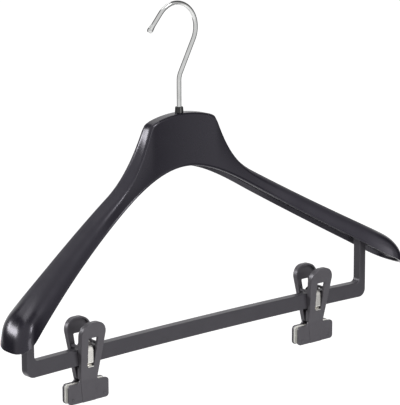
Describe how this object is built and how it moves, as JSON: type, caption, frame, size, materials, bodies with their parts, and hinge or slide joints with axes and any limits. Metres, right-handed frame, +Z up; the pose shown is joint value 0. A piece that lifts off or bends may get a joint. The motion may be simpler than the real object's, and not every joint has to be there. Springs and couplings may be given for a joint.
{
  "type": "skirt hanger",
  "caption": "Contoured black hanger with a swivelling wire hook, a trouser bar and sliding spring pinch clips for skirts.",
  "frame": {"origin": "where the rail touches the inside of the hook, straight above the stem's axis", "axes": "+X along the trouser bar to the wearer's left as seen from the front, +Y to the back, +Z up"},
  "size_m": [0.4238, 0.073, 0.3089],
  "materials": {
    "polished_steel": "polished wire",
    "collar_black": "gloss",
    "shoulder_black": "satin, glossier on the neck",
    "bar_black": "satin",
    "clip_black": "satin",
    "spring_steel": "bright strip",
    "grey_pad": "matte",
    "ivory_pad": "matte"
  },
  "bodies": {
    "hook": {"hook": "polished_steel"},
    "hanger": {"shoulder_shell": "shoulder_black", "underside_cover": "shoulder_black", "hook_collar": "collar_black", "trouser_bar": "bar_black"},
    "left_clip": {"left_clip_spring": "spring_steel"},
    "left_front": {"left_front_lever": "clip_black", "left_front_pad": "grey_pad"},
    "left_rear": {"left_rear_lever": "clip_black", "left_rear_pad": "ivory_pad"},
    "right_clip": {"right_clip_spring": "spring_steel"},
    "right_front": {"right_front_lever": "clip_black", "right_front_pad": "grey_pad"},
    "right_rear": {"right_rear_lever": "clip_black", "right_rear_pad": "ivory_pad"}
  },
  "joints": [
    {"name": "hook_swivel", "type": "hinge", "parent": "hook", "child": "hanger", "pos_m": [0, 0, -0.0895], "axis": [0, 0, 1], "continuous": true},
    {"name": "left_clip_slide", "type": "slide", "parent": "hanger", "child": "left_clip", "axis": [1, 0, 0], "range_m": [-0.038, 0.105]},
    {"name": "left_front_pinch", "type": "hinge", "parent": "left_clip", "child": "left_front", "pos_m": [-0.1262, -0.0295, -0.25761], "axis": [-1, 0, 0], "range_deg": [0, 12], "stiffness_Nm_per_rad": 0.4, "springref_deg": -14.32, "deforming": ["left_clip_spring"]},
    {"name": "left_rear_pinch", "type": "hinge", "parent": "left_clip", "child": "left_rear", "pos_m": [-0.1262, -0.0295, -0.25761], "axis": [1, 0, 0], "range_deg": [0, 12]},
    {"name": "right_clip_slide", "type": "slide", "parent": "hanger", "child": "right_clip", "axis": [1, 0, 0], "range_m": [-0.105, 0.038]},
    {"name": "right_front_pinch", "type": "hinge", "parent": "right_clip", "child": "right_front", "pos_m": [0.1262, -0.0295, -0.25761], "axis": [-1, 0, 0], "range_deg": [0, 12], "stiffness_Nm_per_rad": 0.4, "springref_deg": -14.32, "deforming": ["right_clip_spring"]},
    {"name": "right_rear_pinch", "type": "hinge", "parent": "right_clip", "child": "right_rear", "pos_m": [0.1262, -0.0295, -0.25761], "axis": [1, 0, 0], "range_deg": [0, 12]}
  ],
  "couplings": [
    {"joint": "left_rear_pinch", "follows": "left_front_pinch", "ratio": 1},
    {"joint": "right_rear_pinch", "follows": "right_front_pinch", "ratio": 1}
  ]
}
